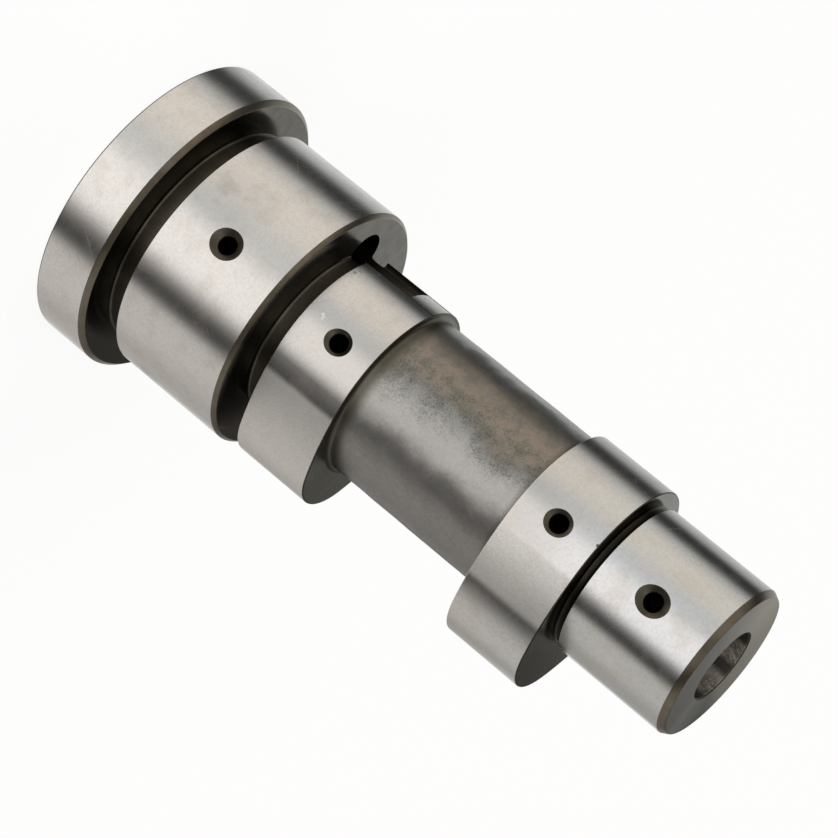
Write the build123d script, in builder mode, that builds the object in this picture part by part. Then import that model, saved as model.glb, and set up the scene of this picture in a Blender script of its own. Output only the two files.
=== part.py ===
from build123d import *
from math import acos, cos, degrees, radians, sin
import os

os.makedirs("parts", exist_ok=True)

# Camshaft of a small single-cylinder four-stroke engine, standing on its
# flange. +Z runs along the shaft towards the small end and Z = 0 is the
# flange's sprocket face. Angles are counted about +Z from +X. The oil
# holes all look along +Y. Millimetres.

# The two lobes share one width and one base circle
LOBE_L = 11.5
BASE_D = 25.4
LOBE_EDGE_BREAK = 0.15
LOBE_1_LIFT = 4.7
LOBE_1_NOSE_R = 8.4
LOBE_1_FLANK_R = 31.0
LOBE_1_ANGLE = 189.3
LOBE_2_LIFT = 5.1
LOBE_2_NOSE_R = 8.5
LOBE_2_FLANK_R = 27.0
LOBE_2_ANGLE = 179.8

# Neck in front of lobe 1 and unmachined barrel between the lobes, each
# so far below the base circle that a follower's pad clears it
BIG_NECK_RELIEF = 0.85
BIG_NECK_D = BASE_D - 2 * BIG_NECK_RELIEF
BIG_NECK_L = 2.25
BARREL_RELIEF = 1.075
BARREL_D = BASE_D - 2 * BARREL_RELIEF
BARREL_L = 25.4
BARREL_FILLET = 0.8

# Large bearing journal behind the flange, just large enough to let the
# higher nose pass through its bearing when the shaft goes in
NOSE_CLEARANCE = 0.2
BIG_JOURNAL_D = BASE_D + 2 * (max(LOBE_1_LIFT, LOBE_2_LIFT) + NOSE_CLEARANCE)
BIG_JOURNAL_L = 17.45
BIG_JOURNAL_CHAMFER = 0.5
JOURNAL_EDGE_BREAK = 0.15

# Small bearing journal at the far end, with a steep lead-in chamfer and a
# grinding undercut at its root
END_JOURNAL_D = 22.0
END_JOURNAL_L = 16.85
END_CHAMFER_L = 0.9
END_CHAMFER_R = 0.5
END_NECK_RELIEF = 0.65
END_NECK_D = END_JOURNAL_D - 2 * END_NECK_RELIEF
END_NECK_L = 1.1
NECK_FILLET = 0.4

# Bore for the decompressor shaft, through the flange and the large
# journal and on into the back of lobe 1, where its cam comes out. Its
# centre lies inside the base circle.
DECOMP_D = 6.1
DECOMP_INSET = 0.7
DECOMP_PCD = BASE_D - 2 * DECOMP_INSET
DECOMP_ANGLE = 21.0
DECOMP_POCKET_L = 7.5

# Flange that the sprocket is bolted to, and the neck next to it, which
# keeps a wall round the decompressor bore
FLANGE_D = 42.0
FLANGE_T = 8.2
FLANGE_EDGE_BREAK = 0.2
FLANGE_CHAMFER = 0.65
FLANGE_NECK_WALL = 0.95
FLANGE_NECK_D = DECOMP_PCD + DECOMP_D + 2 * FLANGE_NECK_WALL
FLANGE_NECK_L = 3.1

# Hole for the dowel that times the sprocket, opposite the decompressor
DOWEL_D = 4.0
DOWEL_DEPTH = 6.0

# Oil gallery along the axis, drilled from the flange and tapped for the
# sprocket bolt, with one radial oil hole to each journal and each lobe
GALLERY_D = 6.0
GALLERY_PAST_HOLE = 2.5
BOLT_CORE_D = 8.5
BOLT_MOUTH_D = 10.5
TAP_TO_OIL_HOLE = 1.4
OIL_HOLE_D = 2.4
OIL_CSK_ANGLE = 120.0
JOURNAL_CSK_D = 4.6
LOBE_CSK_D = 3.9
BIG_OIL_ANGLE = 89.0
OIL_HOLE_ANGLE = 90.0
BIG_OIL_FROM_EDGE = 8.3
LOBE_1_OIL_FROM_EDGE = 6.2
LOBE_2_OIL_FROM_EDGE = 5.75
END_OIL_FROM_EDGE = 7.8

# Blind bore in the end face
END_BORE_D = 10.1
END_BORE_DEPTH = 4.0
END_BORE_EDGE_BREAK = 0.2

# Stations along the shaft
Z_FLANGE = FLANGE_T
Z_BIG = Z_FLANGE + FLANGE_NECK_L
Z_BIG_END = Z_BIG + BIG_JOURNAL_L
Z_LOBE_1 = Z_BIG_END + BIG_NECK_L
Z_BARREL = Z_LOBE_1 + LOBE_L
Z_LOBE_2 = Z_BARREL + BARREL_L
Z_END_NECK = Z_LOBE_2 + LOBE_L
Z_END = Z_END_NECK + END_NECK_L
Z_TOP = Z_END + END_JOURNAL_L

# The lobes: height of the lower face, lift, nose, flank and angle of each
LOBES = [
    (Z_LOBE_1, LOBE_1_LIFT, LOBE_1_NOSE_R, LOBE_1_FLANK_R, LOBE_1_ANGLE),
    (Z_LOBE_2, LOBE_2_LIFT, LOBE_2_NOSE_R, LOBE_2_FLANK_R, LOBE_2_ANGLE),
]

# Radial oil holes: height of each, angle, diameter of the surface it
# meets and of its countersink there
Z_BIG_OIL = Z_BIG + BIG_OIL_FROM_EDGE
Z_END_OIL = Z_END + END_OIL_FROM_EDGE
OIL_HOLES = [
    (Z_BIG_OIL, BIG_OIL_ANGLE, BIG_JOURNAL_D, JOURNAL_CSK_D),
    (Z_LOBE_1 + LOBE_1_OIL_FROM_EDGE, OIL_HOLE_ANGLE, BASE_D, LOBE_CSK_D),
    (Z_LOBE_2 + LOBE_2_OIL_FROM_EDGE, OIL_HOLE_ANGLE, BASE_D, LOBE_CSK_D),
    (Z_END_OIL, OIL_HOLE_ANGLE, END_JOURNAL_D, JOURNAL_CSK_D),
]

# The tapped hole stops short of the large journal's oil hole
BOLT_TAP_L = Z_BIG_OIL - OIL_HOLE_D / 2 - TAP_TO_OIL_HOLE


def polar(radius, angle):
    return (radius * cos(radians(angle)), radius * sin(radians(angle)))


def cam_outline(base_r, lift, nose_r, flank_r, angle):
    """Outline of a cam in the XY plane, nose at the given angle.

    Base circle, two convex flanks and nose are arcs that meet in tangents.
    The flank's centre is where its distances to the other two centres are
    the differences of the radii.
    """
    nose_centre = base_r + lift - nose_r
    to_base = flank_r - base_r
    to_nose = flank_r - nose_r
    off_axis = degrees(
        acos((to_base**2 + nose_centre**2 - to_nose**2) / (2 * to_base * nose_centre))
    )
    flank_centre = Vector(*polar(to_base, -off_axis))
    base_tangent = Vector(*polar(base_r, 180 - off_axis))
    nose_dir = (Vector(nose_centre, 0) - flank_centre).normalized()
    nose_tangent = flank_centre + nose_dir * flank_r
    flank_dir = (base_tangent + nose_tangent) * 0.5 - flank_centre
    flank_mid = flank_centre + flank_dir.normalized() * flank_r
    across = [Vector(p.X, -p.Y) for p in (base_tangent, flank_mid, nose_tangent)]
    with BuildSketch() as outline:
        with BuildLine():
            ThreePointArc(base_tangent, flank_mid, nose_tangent)
            ThreePointArc(nose_tangent, (base_r + lift, 0), across[2])
            ThreePointArc(*reversed(across))
            ThreePointArc(across[0], (-base_r, 0), base_tangent)
        make_face()
    return outline.sketch.rotate(Axis.Z, angle)


def cam_lobe(lift, nose_r, flank_r, angle):
    """Lobe that stands on the XY plane, its edges broken all round."""
    with BuildPart() as lobe:
        with BuildSketch():
            add(cam_outline(BASE_D / 2, lift, nose_r, flank_r, angle))
        extrude(amount=LOBE_L)
        chamfer(lobe.faces().filter_by(Axis.Z).edges(), LOBE_EDGE_BREAK)
    return lobe.part


def profile_corner(profile, diameter, height):
    """Corner of the turned profile at one diameter and height."""
    return profile.vertices().sort_by_distance((diameter / 2, height, 0))[0]


def roots_of(shaft, *diameters):
    """Round edges at which a neck or the barrel meets its neighbours."""
    rings = shaft.edges().filter_by(GeomType.CIRCLE)
    return rings.filter_by(lambda e: any(abs(2 * e.radius - d) < 1e-4 for d in diameters))


with BuildPart() as camshaft:
    # Everything that is turned, as one half profile from flange to end
    with BuildSketch(Plane.XZ) as profile:
        with BuildLine():
            Polyline(
                (0, 0),
                (FLANGE_D / 2, 0),
                (FLANGE_D / 2, Z_FLANGE),
                (FLANGE_NECK_D / 2, Z_FLANGE),
                (FLANGE_NECK_D / 2, Z_BIG),
                (BIG_JOURNAL_D / 2, Z_BIG),
                (BIG_JOURNAL_D / 2, Z_BIG_END),
                (BIG_NECK_D / 2, Z_BIG_END),
                (BIG_NECK_D / 2, Z_LOBE_1),
                (BARREL_D / 2, Z_LOBE_1),
                (BARREL_D / 2, Z_LOBE_2 + LOBE_L / 2),
                (END_NECK_D / 2, Z_LOBE_2 + LOBE_L / 2),
                (END_NECK_D / 2, Z_END),
                (END_JOURNAL_D / 2, Z_END),
                (END_JOURNAL_D / 2, Z_TOP - END_CHAMFER_L),
                (END_JOURNAL_D / 2 - END_CHAMFER_R, Z_TOP),
                (0, Z_TOP),
                close=True,
            )
        make_face()
        chamfer(profile_corner(profile, FLANGE_D, 0), FLANGE_EDGE_BREAK)
        chamfer(profile_corner(profile, FLANGE_D, Z_FLANGE), FLANGE_CHAMFER)
        chamfer(profile_corner(profile, BIG_JOURNAL_D, Z_BIG), JOURNAL_EDGE_BREAK)
        chamfer(profile_corner(profile, BIG_JOURNAL_D, Z_BIG_END), BIG_JOURNAL_CHAMFER)
        chamfer(profile_corner(profile, END_JOURNAL_D, Z_END), JOURNAL_EDGE_BREAK)
    revolve(axis=Axis.Z)

    for z_lobe, *form in LOBES:
        with Locations((0, 0, z_lobe)):
            add(cam_lobe(*form))

    # Fillets where the necks and the barrel run into their neighbours
    fillet(roots_of(camshaft, FLANGE_NECK_D, BIG_NECK_D, END_NECK_D), NECK_FILLET)
    fillet(roots_of(camshaft, BARREL_D), BARREL_FILLET)

    # Sprocket bolt's tapped hole and the oil gallery that goes on from it
    with Locations(Location((0, 0, 0), (180, 0, 0))):
        CounterSinkHole(BOLT_CORE_D / 2, BOLT_MOUTH_D / 2, BOLT_TAP_L)
        Hole(GALLERY_D / 2, Z_END_OIL + GALLERY_PAST_HOLE)

    # Dowel hole and decompressor bore, parallel to the axis
    with Locations(Location((*polar(DECOMP_PCD / 2, DECOMP_ANGLE + 180), 0), (180, 0, 0))):
        Hole(DOWEL_D / 2, DOWEL_DEPTH)
    with Locations(Location((*polar(DECOMP_PCD / 2, DECOMP_ANGLE), 0), (180, 0, 0))):
        Hole(DECOMP_D / 2, Z_LOBE_1 + DECOMP_POCKET_L)

    # Radial oil holes, countersunk at the surface, down to the gallery
    for z_hole, angle, surface_d, csk_d in OIL_HOLES:
        mouth = Plane(origin=(*polar(surface_d / 2, angle), z_hole), z_dir=(*polar(1, angle), 0))
        with Locations(mouth):
            CounterSinkHole(OIL_HOLE_D / 2, csk_d / 2, surface_d / 2, OIL_CSK_ANGLE)

    # Blind bore in the end face
    with Locations((0, 0, Z_TOP)):
        Hole(END_BORE_D / 2, END_BORE_DEPTH)
    end_rims = camshaft.faces().sort_by(Axis.Z)[-1].edges()
    chamfer(end_rims.sort_by(SortBy.RADIUS)[0], END_BORE_EDGE_BREAK)

camshaft.part.label = "camshaft"
export_step(camshaft.part, "parts/camshaft.step")
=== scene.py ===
import math

import bmesh
import bpy
from bpy.props import FloatProperty, FloatVectorProperty, PointerProperty
from mathutils import Matrix, Vector, noise


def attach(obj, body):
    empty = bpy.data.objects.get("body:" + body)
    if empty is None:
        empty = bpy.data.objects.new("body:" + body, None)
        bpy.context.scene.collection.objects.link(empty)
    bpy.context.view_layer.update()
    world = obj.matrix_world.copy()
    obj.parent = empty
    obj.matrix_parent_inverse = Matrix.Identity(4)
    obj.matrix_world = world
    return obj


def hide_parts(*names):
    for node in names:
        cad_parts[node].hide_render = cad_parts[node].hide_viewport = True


bl_info = {
    "name": "Camshaft",
    "version": (1, 0, 0),
    "blender": (4, 5, 0),
    "location": "3D View > Sidebar > Camshaft",
    "description": "One-piece engine camshaft with its finishes, standing on its flange",
    "category": "Object",
}

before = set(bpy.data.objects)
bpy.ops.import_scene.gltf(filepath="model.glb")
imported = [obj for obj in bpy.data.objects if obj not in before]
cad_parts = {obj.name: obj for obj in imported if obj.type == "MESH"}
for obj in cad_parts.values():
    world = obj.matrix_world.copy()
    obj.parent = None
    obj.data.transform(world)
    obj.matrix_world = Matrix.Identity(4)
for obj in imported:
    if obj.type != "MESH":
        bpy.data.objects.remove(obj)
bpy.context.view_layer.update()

SHAFT = "camshaft_steel"
TURNS = 360  # steps of a full turn of the large rounds
SUNK = 0.01  # mm that a fillet's foot lies inside a lobe's face
WELD = 1e-4  # mm between vertices that become one
# Finishes in the order of the shaft's material slots; the last is painted shade in the recesses
GROUND, TREATED, FORGED, TURNED, EDGE, SHOULDER, BORED, RECESS_SHADE = range(8)
# Marks on the lobes: angle, height and radius in mm, strength, colour; the two white ones are
# painted glints on nicks, the dark ones are nicks
NICKS_AND_GLINTS = (
    (84.3, 33.5, 0.3, 0.35, (1.0, 1.0, 1.0)),
    (82.9, 33.2, 0.25, 0.5, (1.0, 1.0, 1.0)),
    (49.3, 31.7, 0.35, 0.6, (0.16, 0.15, 0.13)),
    (45.8, 31.9, 0.3, 0.4, (0.2, 0.19, 0.17)),
    (153.2, 31.1, 0.35, 0.8, (0.08, 0.08, 0.07)),
    (86.1, 79.25, 0.25, 0.9, (0.06, 0.06, 0.05)),
)


# Sizes and finishes that a user would change


def length(name, millimetres, description):
    return FloatProperty(
        name=name,
        description=description,
        default=millimetres / 1000,
        min=0.0,
        unit="LENGTH",
        precision=5,
    )


def turn(name, degrees, description):
    return FloatProperty(
        name=name, description=description, default=math.radians(degrees), subtype="ANGLE"
    )


def level(name, value, description, top=1.0):
    return FloatProperty(name=name, description=description, default=value, min=0.0, max=top)


def tint(name, rgb, description):
    return FloatVectorProperty(
        name=name, description=description, default=rgb, size=3, min=0.0, max=1.0, subtype="COLOR"
    )


class CamshaftSizes(bpy.types.PropertyGroup):
    """Sizes of the shaft, as in the CAD source."""

    lobe_l: length("Lobe width", 11.5, "Width of both lobes")
    base_d: length("Base circle", 25.4, "Diameter of the lobes' base circle")
    lobe_edge: length("Lobe edge break", 0.15, "Chamfer round each lobe's two faces")
    lift_1: length("Lift 1", 4.7, "Height of lobe 1's nose over the base circle")
    nose_1: length("Nose radius 1", 8.4, "Radius of lobe 1's nose")
    flank_1: length("Flank radius 1", 31.0, "Radius of lobe 1's flanks")
    angle_1: turn("Nose angle 1", 189.3, "Direction of lobe 1's nose")
    lift_2: length("Lift 2", 5.1, "Height of lobe 2's nose over the base circle")
    nose_2: length("Nose radius 2", 8.5, "Radius of lobe 2's nose")
    flank_2: length("Flank radius 2", 27.0, "Radius of lobe 2's flanks")
    angle_2: turn("Nose angle 2", 179.8, "Direction of lobe 2's nose")
    big_neck_relief: length("Neck relief", 0.85, "Neck's depth under the base circle")
    big_neck_l: length("Neck length", 2.25, "Neck between large journal and lobe 1")
    barrel_relief: length("Barrel relief", 1.075, "Barrel's depth under the base circle")
    barrel_l: length("Barrel length", 25.4, "Unmachined barrel between the lobes")
    barrel_fillet: length("Barrel fillet", 0.8, "Fillet where the barrel meets the lobes")
    nose_clearance: length("Nose clearance", 0.2, "Large journal's radius over the noses")
    big_journal_l: length("Large journal length", 17.45, "Length of the large journal")
    big_chamfer: length("Large journal chamfer", 0.5, "Chamfer at the lobes' side")
    journal_edge: length("Journal edge break", 0.15, "Edge break of both journals")
    end_journal_d: length("Small journal", 22.0, "Diameter of the small journal")
    end_journal_l: length("Small journal length", 16.85, "Length of the small journal")
    end_chamfer_l: length("Lead-in length", 0.9, "Length of the lead-in chamfer")
    end_chamfer_r: length("Lead-in depth", 0.5, "Depth of the lead-in chamfer")
    end_neck_relief: length("Undercut", 0.65, "Undercut's depth at the small journal")
    end_neck_l: length("Undercut length", 1.1, "Length of the undercut")
    neck_fillet: length("Neck fillet", 0.4, "Fillets of the necks")
    decomp_d: length("Decompressor bore", 6.1, "Bore for the decompressor's shaft")
    decomp_inset: length("Decompressor inset", 0.7, "Bore's centre inside the base circle")
    decomp_angle: turn("Decompressor angle", 21.0, "Direction of the bore")
    decomp_pocket: length("Decompressor pocket", 7.5, "Length of the pocket in lobe 1")
    flange_d: length("Flange", 42.0, "Diameter of the flange")
    flange_t: length("Flange thickness", 8.2, "Thickness of the flange")
    flange_edge: length("Flange edge break", 0.2, "Edge break on the sprocket's side")
    flange_chamfer: length("Flange chamfer", 0.65, "Chamfer on the shaft's side")
    flange_wall: length("Neck wall", 0.95, "Wall that the neck keeps round the bore")
    flange_neck_l: length("Flange neck length", 3.1, "Neck between flange and journal")
    dowel_d: length("Dowel hole", 4.0, "Diameter of the dowel hole")
    dowel_l: length("Dowel depth", 6.0, "Depth of the dowel hole")
    gallery_d: length("Oil gallery", 6.0, "Diameter of the gallery on the axis")
    gallery_past: length("Gallery end", 2.5, "Gallery's length past the last oil hole")
    bolt_d: length("Tapped hole", 8.5, "Core diameter of the sprocket bolt's hole")
    bolt_mouth_d: length("Tapped mouth", 10.5, "Diameter of the hole's chamfered mouth")
    bolt_to_oil: length("Tap to oil hole", 1.4, "Tapped hole stops short by this much")
    oil_d: length("Oil holes", 2.4, "Diameter of the radial oil holes")
    journal_csk: length("Journal countersink", 4.6, "Countersinks on the journals")
    lobe_csk: length("Lobe countersink", 3.9, "Countersinks on the lobes")
    csk_angle: turn("Countersink angle", 120.0, "Full angle of the countersinks")
    big_oil_angle: turn("Large journal oil hole", 89.0, "Direction of its oil hole")
    oil_angle: turn("Other oil holes", 90.0, "Direction of the other oil holes")
    big_oil: length("Oil hole, large journal", 8.3, "From the journal's edge")
    oil_1: length("Oil hole, lobe 1", 6.2, "From the lobe's face")
    oil_2: length("Oil hole, lobe 2", 5.75, "From the lobe's face")
    end_oil: length("Oil hole, small journal", 7.8, "From the journal's edge")
    end_bore_d: length("End bore", 10.1, "Bore in the end face")
    end_bore_l: length("End bore depth", 4.0, "Depth of the bore in the end face")
    end_bore_edge: length("End bore edge", 0.2, "Chamfer of the end bore's mouth")
    forged_height: length("Forged unevenness", 0.05, "Height of the barrel's unevenness")


class CamshaftFinish(bpy.types.PropertyGroup):
    """Colours and roughness of the steel."""

    ground: tint("Ground steel", (0.66, 0.645, 0.62), "Large journal, lobes and flange")
    end: tint("Small journal", (0.665, 0.672, 0.652), "Ground steel of the small journal")
    ground_rough: level("Ground roughness", 0.24, "Roughness of the ground steel")
    satin: tint("Satin steel", (0.83, 0.815, 0.78), "Satin places on the lobes' flanks")
    satin_rough: level("Satin roughness", 0.5, "Roughness of the lobes' satin flanks")
    # Darker patches on the large journal and on the land of lobe 1
    stain: tint("Stain", (0.05, 0.05, 0.045), "Stain on the large journal, land of lobe 1")
    treated: tint("Heat-treated steel", (0.095, 0.085, 0.066), "Necks and shoulders")
    shoulder: tint("Shoulders", (0.125, 0.119, 0.103), "Faces beside the necks")
    edges: tint("Chamfers", (0.175, 0.151, 0.113), "Chamfers and edge breaks")
    forged: tint("Forged steel", (0.26, 0.253, 0.24), "Unmachined barrel")
    forged_dark: tint("Forging scale", (0.1, 0.1, 0.082), "Dark specks of the barrel")
    forged_warm: tint("Forging tarnish", (0.28, 0.23, 0.185), "Warm tarnish of the barrel")
    forged_bare: tint("Bare forging", (0.46, 0.455, 0.435), "Rubbed strip of the barrel")
    # Painted shade on the barrel beside the lobes
    forged_root: tint("Barrel's root", (0.085, 0.08, 0.058), "Barrel beside the lobes")
    turned: tint("Turned steel", (0.34, 0.318, 0.255), "End face")
    # Lighter than steel is, as painted light in the end bore
    bored: tint("Bored steel", (0.75, 0.71, 0.64), "Wall of the end bore")


class CamshaftStage(bpy.types.PropertyGroup):
    """Light tent round the shaft."""

    level: level("Tent", 0.6, "Radiance of the tent's plain cloth", 1.4)
    panel: level("Front panel", 1.33, "Radiance of the panel on the viewer's side", 1.4)
    side_panel: level("Side panel", 1.03, "Radiance of the warm panel at the side", 1.4)
    card: level("Black cards", 0.03, "Radiance of the two upright black cards")


# Meshes, in millimetres until the last step


def in_millimetres(group):
    """Sizes as plain numbers: lengths in millimetres, angles in radians."""
    values = {}
    for name in group.bl_rna.properties.keys():
        prop = group.bl_rna.properties[name]
        if prop.type == "FLOAT":
            value = getattr(group, name)
            values[name] = value if prop.subtype == "ANGLE" else round(value * 1000, 6)
    return values


def stations(s):
    """Heights of the shaft's shoulders and the diameters that follow from others."""
    s["neck_d"] = s["base_d"] - 2 * s["big_neck_relief"]
    s["barrel_d"] = s["base_d"] - 2 * s["barrel_relief"]
    s["journal_d"] = s["base_d"] + 2 * (max(s["lift_1"], s["lift_2"]) + s["nose_clearance"])
    s["end_neck_d"] = s["end_journal_d"] - 2 * s["end_neck_relief"]
    s["decomp_pcd"] = s["base_d"] - 2 * s["decomp_inset"]
    s["flange_neck_d"] = s["decomp_pcd"] + s["decomp_d"] + 2 * s["flange_wall"]
    s["z_big"] = s["flange_t"] + s["flange_neck_l"]
    s["z_big_end"] = s["z_big"] + s["big_journal_l"]
    s["z_lobe_1"] = s["z_big_end"] + s["big_neck_l"]
    s["z_barrel"] = s["z_lobe_1"] + s["lobe_l"]
    s["z_lobe_2"] = s["z_barrel"] + s["barrel_l"]
    s["z_end_neck"] = s["z_lobe_2"] + s["lobe_l"]
    s["z_end"] = s["z_end_neck"] + s["end_neck_l"]
    s["z_top"] = s["z_end"] + s["end_journal_l"]
    s["z_big_oil"] = s["z_big"] + s["big_oil"]
    s["z_end_oil"] = s["z_end"] + s["end_oil"]
    return s


def sizes(context):
    return stations(in_millimetres(context.scene.camshaft_sizes))


def turned(corners, steps=TURNS, cuts=None):
    """Solid turned about Z from (radius, height, rounding) corners of a half profile.

    Cuts names one edge of the profile and how many cuts divide it.
    """
    bm = bmesh.new()
    verts = [bm.verts.new((radius, 0, height)) for radius, height, _ in corners]
    edges = [bm.edges.new(pair) for pair in zip(verts, verts[1:])]
    if cuts:
        bmesh.ops.subdivide_edges(bm, edges=[edges[cuts[0]]], cuts=cuts[1])
    for radius, height, rounding in corners:
        if rounding:
            corner = Vector((radius, 0, height))
            vert = min(bm.verts, key=lambda v: (v.co - corner).length)
            bmesh.ops.bevel(
                bm,
                geom=[vert],
                offset=rounding,
                segments=6 if rounding > 0.3 else 3,
                profile=0.5,
                affect="VERTICES",
                material=-1,
            )
    bmesh.ops.spin(
        bm,
        geom=bm.verts[:] + bm.edges[:],
        cent=(0, 0, 0),
        axis=(0, 0, 1),
        dvec=(0, 0, 0),
        angle=2 * math.pi,
        steps=steps,
        use_merge=True,
    )
    bmesh.ops.remove_doubles(bm, verts=bm.verts, dist=WELD)
    bmesh.ops.recalc_face_normals(bm, faces=bm.faces)
    return bm


def lobe(s, lift, nose_r, flank_r, angle, height):
    """One lobe: base circle, flank and nose spun as arcs, mirrored and raised."""
    base_r = s["base_d"] / 2
    nose_centre = base_r + lift - nose_r
    to_base, to_nose = flank_r - base_r, flank_r - nose_r
    off_axis = math.acos(
        (to_base**2 + nose_centre**2 - to_nose**2) / (2 * to_base * nose_centre)
    )
    flank_centre = Vector((to_base * math.cos(off_axis), -to_base * math.sin(off_axis), 0))
    nose_angle = math.atan2(-flank_centre.y, nose_centre - flank_centre.x)
    arcs = [
        ((0, 0, 0), math.pi, math.pi - off_axis),
        (flank_centre, math.pi - off_axis, nose_angle),
        ((nose_centre, 0, 0), nose_angle, 0.0),
    ]
    bm = bmesh.new()
    tip = bm.verts.new((-base_r, 0, 0))
    for centre, start, end in arcs:
        spun = bmesh.ops.spin(
            bm,
            geom=[tip],
            cent=centre,
            axis=(0, 0, 1),
            dvec=(0, 0, 0),
            angle=end - start,
            steps=max(8, round(math.degrees(start - end))),
        )
        tip = next(v for v in spun["geom_last"] if isinstance(v, bmesh.types.BMVert))
    bmesh.ops.remove_doubles(bm, verts=bm.verts, dist=WELD)
    bmesh.ops.mirror(
        bm, geom=bm.verts[:] + bm.edges[:], matrix=Matrix(), merge_dist=1e-3, axis="Y"
    )
    outline = bmesh.ops.contextual_create(bm, geom=bm.edges[:])["faces"]
    raised = bmesh.ops.extrude_face_region(bm, geom=outline)["geom"]
    bmesh.ops.translate(
        bm, verts=[v for v in raised if isinstance(v, bmesh.types.BMVert)], vec=(0, 0, s["lobe_l"])
    )
    bmesh.ops.recalc_face_normals(bm, faces=bm.faces)
    rims = [e for e in bm.edges if abs(e.verts[0].co.z - e.verts[1].co.z) < 1e-6]
    bmesh.ops.bevel(
        bm,
        geom=rims,
        offset=s["lobe_edge"],
        segments=2,
        profile=0.5,
        affect="EDGES",
        material=-1,
        clamp_overlap=False,
    )
    bmesh.ops.rotate(bm, verts=bm.verts, cent=(0, 0, 0), matrix=Matrix.Rotation(angle, 3, "Z"))
    bmesh.ops.translate(bm, verts=bm.verts, vec=(0, 0, height))
    return bm


def put_together(parts):
    """One bmesh that holds the shells of several."""
    whole = bmesh.new()
    for bm in parts:
        shell = bpy.data.meshes.new("shell")
        bm.to_mesh(shell)
        bm.free()
        whole.from_mesh(shell)
        bpy.data.meshes.remove(shell)
    return whole


def into_object(bm, name):
    mesh = bpy.data.meshes.new(name)
    bm.to_mesh(mesh)
    bm.free()
    obj = bpy.data.objects.new(name, mesh)
    bpy.context.scene.collection.objects.link(obj)
    return obj


def combine(obj, bm, operation):
    """Unites the shells in bm with the object, or cuts them from it."""
    tool = into_object(bm, "tool")
    boolean = obj.modifiers.new("tool", "BOOLEAN")
    boolean.operation = operation
    boolean.solver = "EXACT"
    boolean.object = tool
    evaluated = obj.evaluated_get(bpy.context.evaluated_depsgraph_get())
    mesh = bpy.data.meshes.new_from_object(evaluated)
    obj.modifiers.remove(boolean)
    old, obj.data = obj.data, mesh
    bpy.data.meshes.remove(old)
    bpy.data.meshes.remove(tool.data)
    if not obj.data.polygons:
        raise RuntimeError(f"{operation} left nothing of {obj.name}")


def around(angle, radius, height=0.0):
    return Vector((radius * math.cos(angle), radius * math.sin(angle), height))


# Materials as expressions


class Output:
    """A node's output that can stand in Python arithmetic."""

    def __init__(self, tree, socket):
        self.tree, self.socket = tree, socket

    def __add__(self, other):
        return self.tree.math("ADD", self, other)

    def __sub__(self, other):
        return self.tree.math("SUBTRACT", self, other)

    def __rsub__(self, other):
        return self.tree.math("SUBTRACT", other, self)

    def __mul__(self, other):
        return self.tree.math("MULTIPLY", self, other)

    def __abs__(self):
        return self.tree.math("ABSOLUTE", self)

    __radd__, __rmul__ = __add__, __mul__


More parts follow.
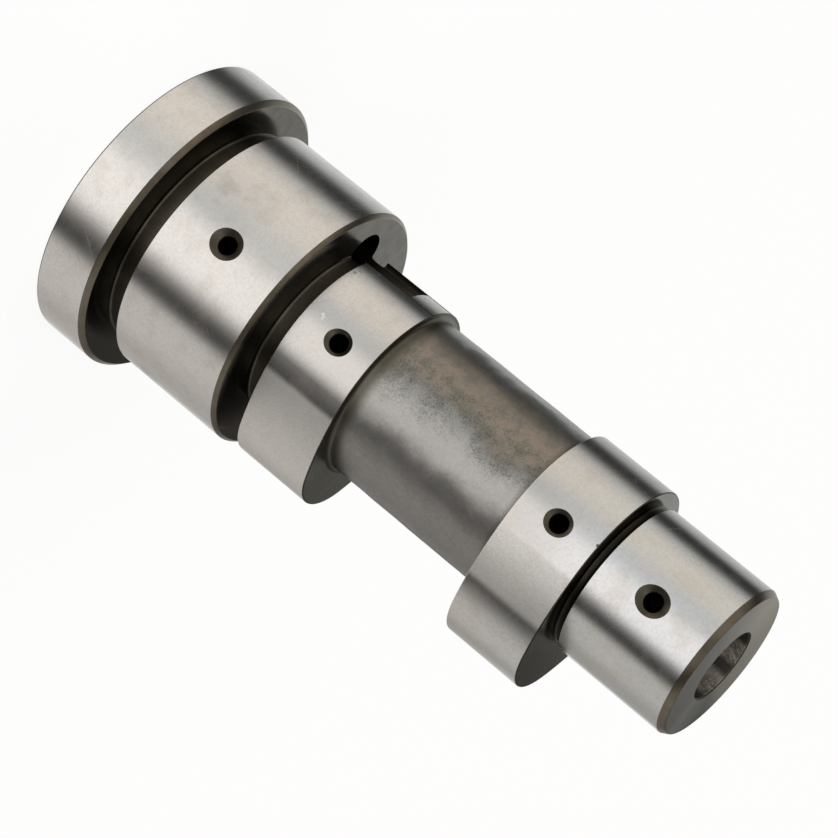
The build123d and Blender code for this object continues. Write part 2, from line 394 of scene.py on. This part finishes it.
class Tree:
    """A material's or the world's nodes, written as expressions."""

    def __init__(self, owner):
        owner.use_nodes = True
        self.tree = owner.node_tree
        self.tree.nodes.clear()

    def node(self, kind, settings, *inputs, out=0, **named):
        """A node with its settings made first and its sockets filled by order or name."""
        made = self.tree.nodes.new(kind)
        for key, value in settings.items():
            setattr(made, key, value)
        sockets = [(made.inputs[i], value) for i, value in enumerate(inputs)]
        sockets += [(made.inputs[key.replace("_", " ")], value) for key, value in named.items()]
        for socket, value in sockets:
            self.fill(socket, value)
        return Output(self, made.outputs[out]) if made.outputs else None

    def fill(self, socket, value):
        if isinstance(value, Output):
            self.tree.links.new(value.socket, socket)
        else:
            socket.default_value = value

    def math(self, operation, *values):
        return self.node("ShaderNodeMath", {"operation": operation}, *values)

    def place(self):
        return self.node("ShaderNodeTexCoord", {}, out="Object")

    def stretched(self, vector, scale):
        return self.node("ShaderNodeMapping", {}, Vector=vector, Scale=scale)

    def parts(self, vector):
        split = self.node("ShaderNodeSeparateXYZ", {}, vector)
        outputs = split.socket.node.outputs
        return [Output(self, outputs[i]) for i in range(3)]

    def cloud(self, vector, per_metre, detail, roughness):
        return self.node(
            "ShaderNodeTexNoise",
            {"noise_dimensions": "3D"},
            Vector=vector,
            Scale=per_metre,
            Detail=detail,
            Roughness=roughness,
        )

    def between(self, value, low, high, to_low=0.0, to_high=1.0):
        """Smooth step from one value to another."""
        return self.node(
            "ShaderNodeMapRange",
            {"interpolation_type": "SMOOTHSTEP"},
            Value=value,
            From_Min=low,
            From_Max=high,
            To_Min=to_low,
            To_Max=to_high,
        )

    def strip(self, value, low, high, soft_low, soft_high=None):
        """Mask of the values from low to high, with soft ends."""
        soft_high = soft_low if soft_high is None else soft_high
        rise = self.between(value, low - soft_low, low + soft_low)
        fall = self.between(value, high - soft_high, high + soft_high, 1.0, 0.0)
        return rise * fall

    def angle(self, x, y, start=-90.0):
        """Angle about Z in degrees, from start to start + 360."""
        about = self.math("ARCTAN2", y, x) * (180 / math.pi)
        return self.math("WRAP", about, start + 360.0, start)

    def radius(self, x, y):
        return self.math("SQRT", x * x + y * y)

    def scratches(self, vector, slope, per_metre, share, along=90.0):
        """Mask of fine straight scratches that lean by slope.

        Per_metre is how close they lie, along how short they are, and share
        roughly how much of the surface they take.
        """
        leaning = self.node("ShaderNodeMapping", {}, Vector=vector, Rotation=(0.0, slope, 0.0))
        drawn = self.cloud(self.stretched(leaning, (along, along, per_metre)), 1.0, 1.0, 0.5)
        return self.between(drawn, 1 - share, 1 - share + 0.06)

    def mix(self, factor, first, second):
        """Colour that goes from the first to the second as factor goes from 0 to 1."""
        settings = {"data_type": "RGBA", "blend_type": "MIX"}
        mixed = self.node("ShaderNodeMix", settings, factor, out=2)
        for socket, colour in zip(mixed.socket.node.inputs[6:8], (first, second)):
            self.fill(socket, colour if isinstance(colour, Output) else (*colour, 1.0))
        return mixed

    def bump(self, height, distance, strength):
        return self.node("ShaderNodeBump", {}, Strength=strength, Distance=distance, Height=height)

    def steel(self, colour, roughness, normal, along=0.0):
        shader = self.node(
            "ShaderNodeBsdfPrincipled",
            {},
            Base_Color=colour,
            Metallic=1.0,
            Roughness=roughness,
            Normal=normal,
            Anisotropic=along,
            Anisotropic_Rotation=0.25,
        )
        self.node("ShaderNodeOutputMaterial", {}, shader)


def times(colour, share):
    return tuple(c * share for c in colour)


def in_metres(s):
    """The lengths as Object coordinates have them."""
    return {name: value / 1000 for name, value in s.items()}


def ground_steel(look, s):
    """Ground steel with grain, smudges and scratches, satin on the lobes' flanks."""
    material = bpy.data.materials.new("ground_steel")
    t, m = Tree(material), in_metres(s)
    place = t.place()
    x, y, z = t.parts(place)
    polar = t.angle(x, y)
    grain = t.cloud(place, 2600.0, 2.0, 0.6)
    matted = t.cloud(place, 5200.0, 3.0, 0.7)
    smudge = t.between(t.cloud(place, 330.0, 4.0, 0.6), 0.46, 0.68)
    lines = t.cloud(t.stretched(place, (400.0, 400.0, 9000.0)), 1.0, 2.0, 0.5)
    scratch = t.scratches(place, 0.6, 3200.0, 0.31) + t.scratches(place, -0.95, 2600.0, 0.3)

    # Masks of the small journal, a strip of it that gets a painted highlight, lobe 1, and the
    # strip round the oil holes, with painted shade on the lobes and painted light on the small
    # journal
    at_end = t.between(z, m["z_lobe_2"], m["z_end"])
    painted_end_highlight = at_end * t.strip(polar, 172, 196, 4, 16)
    at_lobe_1 = t.strip(z, m["z_lobe_1"] - 0.0005, m["z_barrel"] + 0.0005, 0.0003)
    painted_front_strip = t.strip(polar, 76, 118, 8)
    painted_front_strip = painted_front_strip * t.between(z, m["z_lobe_1"] - 0.001, m["z_lobe_1"])

    # Masks of the satin flanks, finger marks, a darker patch on the large journal and the darker
    # land beside lobe 1's pocket
    satin = 0.0
    for low, high, foot in ((127, 178, m["z_lobe_1"]), (109, 141, m["z_lobe_2"])):
        across = t.between(abs(z - (foot + m["lobe_l"] / 2)), 0.0056, 0.006, 1.0, 0.0)
        satin = satin + t.strip(polar, low, high, 2.5) * across
    handled = t.strip(z, m["z_big"] - 0.001, 0.02, 0.0005, 0.003) * t.strip(polar, 60, 86, 6)
    dark_journal_patch = t.strip(z, m["z_big"] - 0.0005, 0.019, 0.0005, 0.004)
    dark_journal_patch = dark_journal_patch * t.strip(polar, 170, 200, 8, 24)
    land = at_lobe_1 * t.strip(polar, -2, 12, 2)

    dulled = times(look.ground, 0.72)
    warm = tuple(c * k for c, k in zip(look.ground, (0.93, 0.9, 0.86)))
    clean = t.mix(at_end, look.ground, look.end)
    # Painted shade on the lobes and painted light on the small journal, along the strip round the
    # oil holes
    clean = t.mix(painted_front_strip * 0.35, clean, dulled)
    clean = t.mix(painted_front_strip * at_end, clean, (0.72, 0.73, 0.735))
    colour = t.mix(smudge * 0.55, clean, warm)
    colour = t.mix(handled * (0.3 + smudge * 0.5), colour, dulled)
    colour = t.mix((grain - 0.42) * 1.1, colour, dulled)
    colour = t.mix(satin * (0.8 - at_end * 0.35), colour, look.satin)
    # Painted highlight: a lighter strip down the small journal's limb
    colour = t.mix(painted_end_highlight, colour, (1.0, 1.0, 0.99))
    colour = t.mix(dark_journal_patch * (0.35 + smudge * 0.3) + land, colour, look.stain)
    colour = t.mix(satin * t.between(matted, 0.35, 0.65) * 0.3, colour, (0.45, 0.44, 0.42))
    for angle, height, radius, share, tone in NICKS_AND_GLINTS:
        spot = tuple(around(math.radians(angle), m["base_d"] / 2, height / 1000))
        away = t.node("ShaderNodeVectorMath", {"operation": "DISTANCE"}, place, spot, out="Value")
        ragged = away + (grain - 0.5) * 0.0006
        near = t.between(ragged, radius * 0.0005, radius * 0.001, share, 0.0)
        colour = t.mix(near, colour, tone)

    rough = look.ground_rough + smudge * 0.04 + (lines - 0.5) * 0.05 + (grain - 0.5) * 0.05
    rough = rough + scratch * 0.05 + satin * (look.satin_rough - look.ground_rough) + land * 0.5
    height = lines * 0.3 + grain * (0.15 + satin * 8.0) + scratch * 0.6
    t.steel(colour, rough, t.bump(height, 0.000004, 0.5), along=0.45)
    return material


def treated_steel(name, tone, rough=0.34, one_sided=0.0, coned=0.0):
    """Unground surfaces, dark from the heat treatment.

    Painted_sides is how much painted light and painted shade lighten and darken
    the tone round the shaft, and coned how far a flat face falls away outwards.
    """
    material = bpy.data.materials.new(name)
    t = Tree(material)
    place = t.place()
    x, y, _ = t.parts(place)
    patches = t.cloud(place, 500.0, 4.0, 0.6)
    fine = t.cloud(place, 9000.0, 2.0, 0.5)
    colour = t.mix(t.between(patches, 0.35, 0.7), tone, times(tone, 0.75))
    if one_sided:
        # Painted light on the sides round 0 and 165 degrees, painted shade round 100 degrees
        polar, pale = t.angle(x, y), (0.5, 0.47, 0.42)
        colour = t.mix(t.strip(polar, -30, 32, 8) * one_sided, colour, pale)
        colour = t.mix(t.strip(polar, 84, 122, 8) * one_sided, colour, times(tone, 0.2))
        colour = t.mix(t.strip(polar, 130, 200, 8, 30) * one_sided * 0.25, colour, pale)
    height = fine - t.radius(x, y) * coned
    t.steel(colour, rough + (patches - 0.5) * 0.12, t.bump(height, 0.00001, 0.25))
    return material


def forged_steel(look, s):
    """Unmachined barrel: grey steel, warm tarnish along one side, dark specks, a painted highlight
    on one limb and painted shade on the other limb and beside the lobes.
    """
    material = bpy.data.materials.new("forged_steel")
    t, m = Tree(material), in_metres(s)
    place = t.place()
    x, y, z = t.parts(place)
    broad = t.cloud(place, 170.0, 3.0, 0.55)
    patch = t.between(t.cloud(place, 560.0, 5.0, 0.65), 0.38, 0.64)
    mottle = t.cloud(place, 1900.0, 6.0, 0.75)
    speck = t.cloud(place, 4600.0, 4.0, 0.8)
    scratch = t.scratches(place, 0.7, 3400.0, 0.4, 260.0)
    scratch = scratch + t.scratches(place, -1.3, 2800.0, 0.38, 260.0)

    # Masks round the barrel, with wavering edges but for the last; the first marks a painted
    # highlight and the last painted shade
    straight = t.angle(x, y)
    polar = straight + (broad - 0.5) * 40
    painted_limb_highlight = t.strip(polar, -30, 25, 20, 7)
    greenish = t.strip(polar, 24, 84, 8) * patch
    warm_side = t.strip(polar, 40, 77, 8)
    scaly = t.strip(polar, 60, 92, 8)
    bare = t.strip(polar, 84, 114, 6, 8)
    grey_side = t.strip(polar, 128, 200, 10, 30)
    painted_dark_side = t.strip(straight, 172, 200, 6, 26)

    # Masks of painted shade at the barrel's two ends, beside the lobes
    root = t.between(z, m["z_barrel"] + 0.0007, m["z_barrel"] + 0.0026, 1.0, 0.0)
    painted_far_root_shade = t.between(z, m["z_lobe_2"] - 0.0012, m["z_lobe_2"] - 0.0004)

    uneven = t.between(mottle, 0.3, 0.7) * 0.5
    colour = t.mix(uneven, times(look.forged, 1.12), times(look.forged, 0.66))
    colour = t.mix(bare * 0.75, colour, look.forged_bare)
    colour = t.mix(warm_side * (0.8 - patch * 0.4), colour, times(look.forged_warm, 1.2))
    # Painted highlight on the barrel's limb
    colour = t.mix(painted_limb_highlight * 0.9, colour, (0.72, 0.71, 0.69))
    colour = t.mix(grey_side * 0.4, colour, (0.36, 0.355, 0.345))
    colour = t.mix(greenish * 0.5, colour, (0.19, 0.19, 0.155))
    # Painted shade on the barrel's other limb
    colour = t.mix(painted_dark_side * 0.8, colour, (0.12, 0.12, 0.115))
    specks = t.between(speck, 0.38, 0.68) * (0.16 + scaly * (0.25 + patch * 0.55))
    colour = t.mix(specks, colour, look.forged_dark)
    colour = t.mix(scratch * bare * 0.08, colour, (0.7, 0.7, 0.69))
    colour = t.mix(root * 0.85 + painted_far_root_shade * 0.5, colour, look.forged_root)
    rough = 0.39 + (mottle - 0.5) * 0.3 + scratch * 0.03 - bare * 0.03
    t.steel(colour, rough, t.bump(mottle + speck * 0.4, 0.00003, 0.5))
    return material


def turned_steel(look):
    """End face with fine rings from the lathe, and painted shade that darkens it towards one side
    and in one sector.
    """
    material = bpy.data.materials.new("turned_steel")
    t = Tree(material)
    place = t.place()
    x, y, _ = t.parts(place)
    spin = t.node("ShaderNodeCombineXYZ", {}, t.radius(x, y) * 6000.0, 0.0, 0.0)
    rings = t.cloud(spin, 1.0, 2.0, 0.6)
    fine = t.cloud(place, 3000.0, 3.0, 0.6)
    cloudy = t.cloud(place, 350.0, 3.0, 0.6)
    painted_shade_slope = x * 73.0 - y * 61.0 + (cloudy - 0.5) * 0.6
    painted_dark_side = t.strip(t.angle(x, y), 195, 242, 14, 12)
    colour = t.mix(fine * 0.35, look.turned, times(look.turned, 0.75))
    # Painted shade: darker towards one side of the end face, darkest in one sector
    colour = t.mix(t.between(painted_shade_slope, 0.9, -0.8), colour, times(look.turned, 0.25))
    colour = t.mix(painted_dark_side * 0.8, colour, times(look.turned, 0.1))
    uneven = rings + x * t.between(y, 0.001, -0.008) * 6500.0
    t.steel(colour, 0.34 + (rings - 0.5) * 0.1, t.bump(uneven, 0.000012, 0.6))
    return material


def bored_steel(look, s):
    """End bore: torn steel, lightened as painted light, with painted glints, a painted dark
    reflection down its wall and painted shade at its mouth.
    """
    material = bpy.data.materials.new("bored_steel")
    t, m = Tree(material), in_metres(s)
    place = t.place()
    x, y, z = t.parts(place)
    torn = t.cloud(t.stretched(place, (1500.0, 1500.0, 900.0)), 1.0, 3.0, 0.6)
    ridges = t.cloud(t.stretched(place, (1300.0, 1300.0, 800.0)), 1.0, 1.0, 0.4)
    painted_lit_bands = t.strip(x, -0.0038, -0.0005, 0.0006) + t.strip(x, 0.0013, 0.0039, 0.0004)
    halfway = t.strip(z, m["z_top"] - 0.0024, m["z_top"] - 0.0009, 0.0004)
    painted_glint = t.between(torn, 0.52, 0.6) * painted_lit_bands * halfway
    rim = m["end_bore_d"] / 2
    mouth = t.between(t.radius(x, y), rim + 0.00001, rim + 0.00004)
    colour = t.mix(t.between(torn, 0.4, 0.62) * 0.6, look.bored, times(look.bored, 0.25))
    # Painted reflection: a dark streak down the middle of the wall and dark edges
    colour = t.mix(1 - painted_lit_bands, colour, times(look.bored, 0.13))
    # Painted glints
    colour = t.mix(painted_glint, colour, (1.0, 1.0, 1.0))
    # Painted shade on the bore's mouth
    colour = t.mix(mouth, colour, times(look.turned, 0.2))
    rough = 0.5 - painted_lit_bands * 0.1 - painted_glint * 0.15
    t.steel(colour, rough, t.bump(ridges * painted_lit_bands, 0.00022, 0.7))
    return material


# Operators


class CAMSHAFT_OT_turn_shaft(bpy.types.Operator):
    """Turn the flange, necks, journals and barrel from one profile"""

    bl_idname = "camshaft.turn_shaft"
    bl_label = "Turn shaft"

    def execute(self, context):
        s = sizes(context)
        neck, edge, hair = s["neck_fillet"], s["journal_edge"], 0.06
        flange_r, flange_neck_r = s["flange_d"] / 2, s["flange_neck_d"] / 2
        journal_r, neck_r = s["journal_d"] / 2, s["neck_d"] / 2
        barrel_r, end_neck_r = s["barrel_d"] / 2, s["end_neck_d"] / 2
        end_r = s["end_journal_d"] / 2
        corners = [
            (0, 0, 0),
            (flange_r, 0, s["flange_edge"]),
            (flange_r, s["flange_t"] - s["flange_chamfer"], hair),
            (flange_r - s["flange_chamfer"], s["flange_t"], hair),
            (flange_neck_r, s["flange_t"], neck),
            (flange_neck_r, s["z_big"], neck),
            (journal_r, s["z_big"], edge),
            (journal_r, s["z_big_end"] - s["big_chamfer"], hair),
            (journal_r - s["big_chamfer"], s["z_big_end"], hair),
            (neck_r, s["z_big_end"], neck),
            (neck_r, s["z_lobe_1"] + SUNK, neck),
            (neck_r + neck, s["z_lobe_1"] + SUNK, 0),
            (barrel_r + s["barrel_fillet"], s["z_barrel"] - SUNK, 0),
            (barrel_r, s["z_barrel"] - SUNK, s["barrel_fillet"]),
            (barrel_r, s["z_lobe_2"] + SUNK, s["barrel_fillet"]),
            (barrel_r + s["barrel_fillet"], s["z_lobe_2"] + SUNK, 0),
            (end_neck_r + neck, s["z_end_neck"] - SUNK, 0),
            (end_neck_r, s["z_end_neck"] - SUNK, neck),
            (end_neck_r, s["z_end"], neck),
            (end_r, s["z_end"], edge),
            (end_r, s["z_top"] - s["end_chamfer_l"], hair),
            (end_r - s["end_chamfer_r"], s["z_top"], hair),
            (0, s["z_top"], 0),
        ]
        along_barrel, rings = 13, 51  # the barrel's edge of the profile, and its cuts
        into_object(turned(corners, cuts=(along_barrel, rings)), SHAFT)
        return {"FINISHED"}


class CAMSHAFT_OT_add_lobes(bpy.types.Operator):
    """Unite the two lobes with the shaft"""

    bl_idname = "camshaft.add_lobes"
    bl_label = "Add lobes"

    def execute(self, context):
        s = sizes(context)
        lobes = []
        for i in (1, 2):
            lift, nose_r, flank_r = s[f"lift_{i}"], s[f"nose_{i}"], s[f"flank_{i}"]
            lobes.append(lobe(s, lift, nose_r, flank_r, s[f"angle_{i}"], s[f"z_lobe_{i}"]))
        combine(bpy.data.objects[SHAFT], put_together(lobes), "UNION")
        return {"FINISHED"}


class CAMSHAFT_OT_drill(bpy.types.Operator):
    """Cut the bores along the shaft and the countersunk oil holes"""

    bl_idname = "camshaft.drill"
    bl_label = "Drill"

    def execute(self, context):
        s = sizes(context)
        bolt_r, mouth_r, gallery_r = s["bolt_d"] / 2, s["bolt_mouth_d"] / 2, s["gallery_d"] / 2
        steep = math.tan(math.radians(41))  # the tapped mouth's radius lost per mm of depth
        bolt_l = s["z_big_oil"] - s["oil_d"] / 2 - s["bolt_to_oil"]
        gallery = turned(
            [
                (0, -1, 0),
                (mouth_r + steep, -1, 0),
                (bolt_r, (mouth_r - bolt_r) / steep, 0),
                (bolt_r, bolt_l, 0),
                (gallery_r, bolt_l, 0),
                (gallery_r, s["z_end_oil"] + s["gallery_past"], 0),
                (0, s["z_end_oil"] + s["gallery_past"], 0),
            ],
            96,
        )
        bore_r, edge, rounding = s["end_bore_d"] / 2, s["end_bore_edge"], 0.15
        end_bore = turned(
            [
                (0, s["z_top"] - s["end_bore_l"], 0),
                (bore_r, s["z_top"] - s["end_bore_l"], rounding),
                (bore_r, s["z_top"] - edge, 0),
                (bore_r + edge + 1, s["z_top"] + 1, 0),
                (0, s["z_top"] + 1, 0),
            ],
            192,
        )
        holes = [gallery, end_bore]
        for radius, top, angle in (
            (s["decomp_d"] / 2, s["z_lobe_1"] + s["decomp_pocket"], s["decomp_angle"]),
            (s["dowel_d"] / 2, s["dowel_l"], s["decomp_angle"] + math.pi),
        ):
            hole = turned([(0, -1, 0), (radius, -1, 0), (radius, top, 0), (0, top, 0)], 128)
            bmesh.ops.translate(hole, verts=hole.verts, vec=around(angle, s["decomp_pcd"] / 2))
            holes.append(hole)
        combine(bpy.data.objects[SHAFT], put_together(holes), "DIFFERENCE")

        oil = []
        for height, angle, surface_d, csk_d in (
            (s["z_big_oil"], s["big_oil_angle"], s["journal_d"], s["journal_csk"]),
            (s["z_lobe_1"] + s["oil_1"], s["oil_angle"], s["base_d"], s["lobe_csk"]),
            (s["z_lobe_2"] + s["oil_2"], s["oil_angle"], s["base_d"], s["lobe_csk"]),
            (s["z_end_oil"], s["oil_angle"], s["end_journal_d"], s["journal_csk"]),
        ):
            hole_r, csk_r, surface_r = s["oil_d"] / 2, csk_d / 2, surface_d / 2
            spread = math.tan(s["csk_angle"] / 2)
            hole = turned(
                [
                    (0, 0, 0),
                    (hole_r, 0, 0),
                    (hole_r, surface_r - (csk_r - hole_r) / spread, rounding),
                    (csk_r + spread, surface_r + 1, 0),
                    (0, surface_r + 1, 0),
                ],
                96,
            )
            tilt = Matrix.Rotation(angle, 3, "Z") @ Matrix.Rotation(math.pi / 2, 3, "Y")
            bmesh.ops.rotate(hole, verts=hole.verts, cent=(0, 0, 0), matrix=tilt)
            bmesh.ops.translate(hole, verts=hole.verts, vec=(0, 0, height))
            oil.append(hole)
        combine(bpy.data.objects[SHAFT], put_together(oil), "DIFFERENCE")
        return {"FINISHED"}


class CAMSHAFT_OT_finish_surfaces(bpy.types.Operator):
    """Give each surface its finish and put the shaft in the place of its CAD solid"""

    bl_idname = "camshaft.finish_surfaces"
    bl_label = "Finish surfaces"

    def execute(self, context):
        s = sizes(context)
        look = context.scene.camshaft_finish
        shaft = bpy.data.objects[SHAFT]
        finishes = {
            GROUND: ground_steel(look, s),
            TREATED: treated_steel("treated_steel", look.treated),
            FORGED: forged_steel(look, s),
            TURNED: turned_steel(look),
            EDGE: treated_steel("edge_steel", look.edges, one_sided=0.5),
            SHOULDER: treated_steel("shoulder_steel", look.shoulder, rough=0.18, coned=8000.0),
            BORED: bored_steel(look, s),
            # Painted shade: treated steel darkened in the bore under lobe 1 and in the small
            # journal's undercut
            RECESS_SHADE: treated_steel("drilled_steel", times(look.treated, 0.4)),
        }
        shaft.data.materials.clear()
        for index in sorted(finishes):
            shaft.data.materials.append(finishes[index])

        bm = bmesh.new()
        bm.from_mesh(shaft.data)
        bmesh.ops.remove_doubles(bm, verts=bm.verts, dist=WELD)
        bmesh.ops.dissolve_degenerate(bm, edges=bm.edges, dist=WELD)
        for face in bm.faces:
            face.smooth = True
            face.material_index = self.finish_of(face, s)
        sharp = math.radians(26)
        for edge in bm.edges:
            if len(edge.link_faces) == 2:
                edge.smooth = edge.calc_face_angle(0.0) < sharp
        self.roughen_barrel(bm, s)
        bmesh.ops.scale(bm, verts=bm.verts, vec=(0.001, 0.001, 0.001))
        bm.to_mesh(shaft.data)
        bm.free()
        weighted = shaft.modifiers.new("even normals", "WEIGHTED_NORMAL")
        weighted.mode, weighted.weight, weighted.keep_sharp = "FACE_AREA", 90, True

        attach(shaft, "root")
        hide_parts("camshaft")
        return {"FINISHED"}

    def roughen_barrel(self, bm, s):
        """Push the barrel's surface in and out a little, fading towards its fillets."""
        barrel_r, fade = s["barrel_d"] / 2, 1.5
        low, high = s["z_barrel"] + s["barrel_fillet"], s["z_lobe_2"] - s["barrel_fillet"]
        for vert in bm.verts:
            out = math.hypot(vert.co.x, vert.co.y)
            inside = min(vert.co.z - low, high - vert.co.z)
            if abs(out - barrel_r) < 0.01 and inside > 0:
                wave = noise.noise(vert.co * 0.22) + 0.5 * noise.noise(vert.co * 0.6)
                push = s["forged_height"] * wave * min(1.0, inside / fade) / out
                vert.co.x += vert.co.x * push
                vert.co.y += vert.co.y * push

    def finish_of(self, face, s):
        """The finish of a face, from its place and the way it faces, with allowances in mm."""
        centre, up = face.calc_center_median(), face.normal.z
        z, out = centre.z, math.hypot(centre.x, centre.y)
        outward = face.normal.x * centre.x + face.normal.y * centre.y > 0
        upright = abs(up) < 0.1
        if up > 0.99 and z > s["z_top"] - 0.01:
            return TURNED
        if up < -0.99 and z < 0.01:
            return GROUND
        if s["z_barrel"] < z < s["z_lobe_2"] and out < s["base_d"] / 2 - 0.05:
            return FORGED
        if out < s["end_bore_d"] / 2 + 0.3 and z > s["z_top"] - s["end_bore_l"] - 0.01:
            return BORED

        bore = around(s["decomp_angle"], s["decomp_pcd"] / 2, z)
        in_bore = upright and (centre - bore).length < s["decomp_d"] / 2 + 0.02
        if in_bore and z < s["z_lobe_1"] + s["decomp_pocket"]:
            return RECESS_SHADE if z < s["z_lobe_1"] else TREATED
        if s["z_end_neck"] < z < s["z_end"] and out < s["end_journal_d"] / 2 - 0.1:
            return RECESS_SHADE

        to_rim = min(abs(z - s["z_lobe_1"]), abs(z - s["z_lobe_2"]))
        if up < -0.1 and out > s["base_d"] / 2 - 0.2 and to_rim < s["lobe_edge"]:
            return GROUND
        for top, high in (
            (s["flange_t"], s["flange_chamfer"]),
            (s["z_big_end"], s["big_chamfer"]),
            (s["z_top"], s["end_chamfer_l"]),
        ):
            if top - high - 0.05 < z < top and 0.1 < up < 0.95 and outward:
                return EDGE
        if up > 0.99:
            return SHOULDER

        for low, high, diameter in (
            (0, s["flange_t"], s["flange_d"]),
            (s["z_big"], s["z_big_end"], s["journal_d"]),
            (s["z_lobe_1"], s["z_barrel"], s["base_d"]),
            (s["z_lobe_2"], s["z_end_neck"], s["base_d"]),
            (s["z_end"], s["z_top"], s["end_journal_d"]),
        ):
            if upright and outward and low < z < high and out > diameter / 2 - 0.1:
                return GROUND
        return TREATED


class CAMSHAFT_OT_set_stage(bpy.types.Operator):
    """Make the pale floor, the light tent and the camera"""

    bl_idname = "camshaft.set_stage"
    bl_label = "Set stage"

    def execute(self, context):
        scene = context.scene
        scene.view_settings.view_transform = "Standard"
        self.floor()
        self.light_tent(scene)
        self.camera(scene)
        return {"FINISHED"}

    def floor(self):
        """Round floor just under the flange, white to the camera and plain to the light."""
        bm = bmesh.new()
        bmesh.ops.create_circle(bm, cap_ends=True, radius=3.0, segments=64)
        bmesh.ops.translate(bm, verts=bm.verts, vec=(0, 0, -0.00002))
        floor = into_object(bm, "floor")
        floor.visible_glossy = False
        material = bpy.data.materials.new("floor_white")
        t = Tree(material)
        matt = t.node("ShaderNodeBsdfDiffuse", {}, (0.25, 0.25, 0.25, 1.0))
        glow = t.node("ShaderNodeEmission", {}, (1.0, 1.0, 1.0, 1.0), 0.85)
        both = t.node("ShaderNodeAddShader", {}, matt, glow)
        plain = t.node("ShaderNodeBsdfDiffuse", {}, (0.8, 0.8, 0.8, 1.0))
        seen = t.node("ShaderNodeLightPath", {}, out="Is Camera Ray")
        shown = t.node("ShaderNodeMixShader", {}, seen, plain, both)
        t.node("ShaderNodeOutputMaterial", {}, shown)
        floor.data.materials.append(material)

    def camera(self, scene):
        """Camera at the photograph's place, set by the directions of its three axes."""
        data = bpy.data.cameras.new("camera")
        data.lens, data.sensor_width = 148.21, 36.0
        data.clip_start, data.clip_end = 0.01, 10.0
        camera = bpy.data.objects.new("camera", data)
        scene.collection.objects.link(camera)
        right = Vector((0.64913, -0.21292, 0.73026))
        up = Vector((0.75825, 0.25783, -0.59883))
        back = Vector((-0.06078, 0.94244, 0.32881))
        camera.rotation_mode = "QUATERNION"
        camera.rotation_quaternion = Matrix((right, up, back)).transposed().to_quaternion()
        camera.location = (-0.02646, 0.40808, 0.18965)
        scene.camera = camera

    def light_tent(self, scene):
        """Pale cloths, bright panels and two upright black cards, each from bearing to bearing.

        Higher up, a dark cloth and a pale one meet behind the shaft, where its flat
        faces mirror them to the camera.
        """
        stage = scene.camshaft_stage
        world = bpy.data.worlds.new("light_tent")
        scene.world = world
        t = Tree(world)
        x, y, z = t.parts(t.node("ShaderNodeTexCoord", {}, out="Generated"))
        bearing = t.angle(x, y, -130.0)

        cool, warm, pale_warm = (0.98, 1.0, 0.995), (1.0, 0.935, 0.86), (1.0, 0.96, 0.925)
        # From and to in degrees, softness of both ends, radiance, tone
        strips = (
            (-75, 20, 8, 10, stage.level, cool),
            (-106, -58, 8, 14, 0.86, cool),
            (22, 100, 14, 10, 0.85, (1.0, 1.0, 0.99)),
            (5, 50, 18, 14, stage.side_panel, warm),
            (148, 207, 4, 16, 0.74, pale_warm),
            (82, 130, 12, 11, stage.panel, (1.0, 0.965, 0.945)),
            (-37.5, -7, 9, 8, stage.card, cool),
            (136.5, 159.5, 12, 6, stage.card, cool),
        )
        brightest = 1.4  # radiance of white in the tent's colours
        tent = times(pale_warm, 0.9 * stage.level / brightest)
        for low, high, soft_low, soft_high, radiance, tone in strips:
            mask = t.strip(bearing, low, high, soft_low, soft_high)
            tent = t.mix(mask, tent, times(tone, radiance / brightest))
        raised = t.between(z, 0.04, 0.14)
        tent = t.mix(raised * t.strip(bearing, -128, -87, 10, 1.5), tent, (0.085, 0.08, 0.07))
        tent = t.mix(raised * t.strip(bearing, -86, -50, 1.5, 10) * 0.5, tent, (0.76, 0.755, 0.73))

        paler_low = t.between(z, -0.395, -0.325, 1.07, 0.83)
        lit = t.node("ShaderNodeBackground", {}, tent, paler_low * brightest)
        white = t.node("ShaderNodeBackground", {}, (1.0, 1.0, 1.0, 1.0), 1.0)
        seen = t.node("ShaderNodeLightPath", {}, out="Is Camera Ray")
        shown = t.node("ShaderNodeMixShader", {}, seen, lit, white)
        t.node("ShaderNodeOutputWorld", {}, shown)


class CAMSHAFT_PT_panel(bpy.types.Panel):
    """Steps that make the camshaft and its stage"""

    bl_idname = "CAMSHAFT_PT_panel"
    bl_label = "Camshaft"
    bl_space_type = "VIEW_3D"
    bl_region_type = "UI"
    bl_category = "Camshaft"

    def draw(self, context):
        for operator in STEPS:
            self.layout.operator(operator.bl_idname)


STEPS = (
    CAMSHAFT_OT_turn_shaft,
    CAMSHAFT_OT_add_lobes,
    CAMSHAFT_OT_drill,
    CAMSHAFT_OT_finish_surfaces,
    CAMSHAFT_OT_set_stage,
)
GROUPS = {
    "camshaft_sizes": CamshaftSizes,
    "camshaft_finish": CamshaftFinish,
    "camshaft_stage": CamshaftStage,
}
CLASSES = (*GROUPS.values(), *STEPS, CAMSHAFT_PT_panel)


def register():
    for cls in CLASSES:
        bpy.utils.register_class(cls)
    for name, group in GROUPS.items():
        setattr(bpy.types.Scene, name, PointerProperty(type=group))


def unregister():
    for name in GROUPS:
        delattr(bpy.types.Scene, name)
    for cls in reversed(CLASSES):
        bpy.utils.unregister_class(cls)


def main():
    register()
    bpy.ops.camshaft.turn_shaft()
    bpy.ops.camshaft.add_lobes()
    bpy.ops.camshaft.drill()
    bpy.ops.camshaft.finish_surfaces()
    bpy.ops.camshaft.set_stage()


if __name__ == "__main__":
    main()
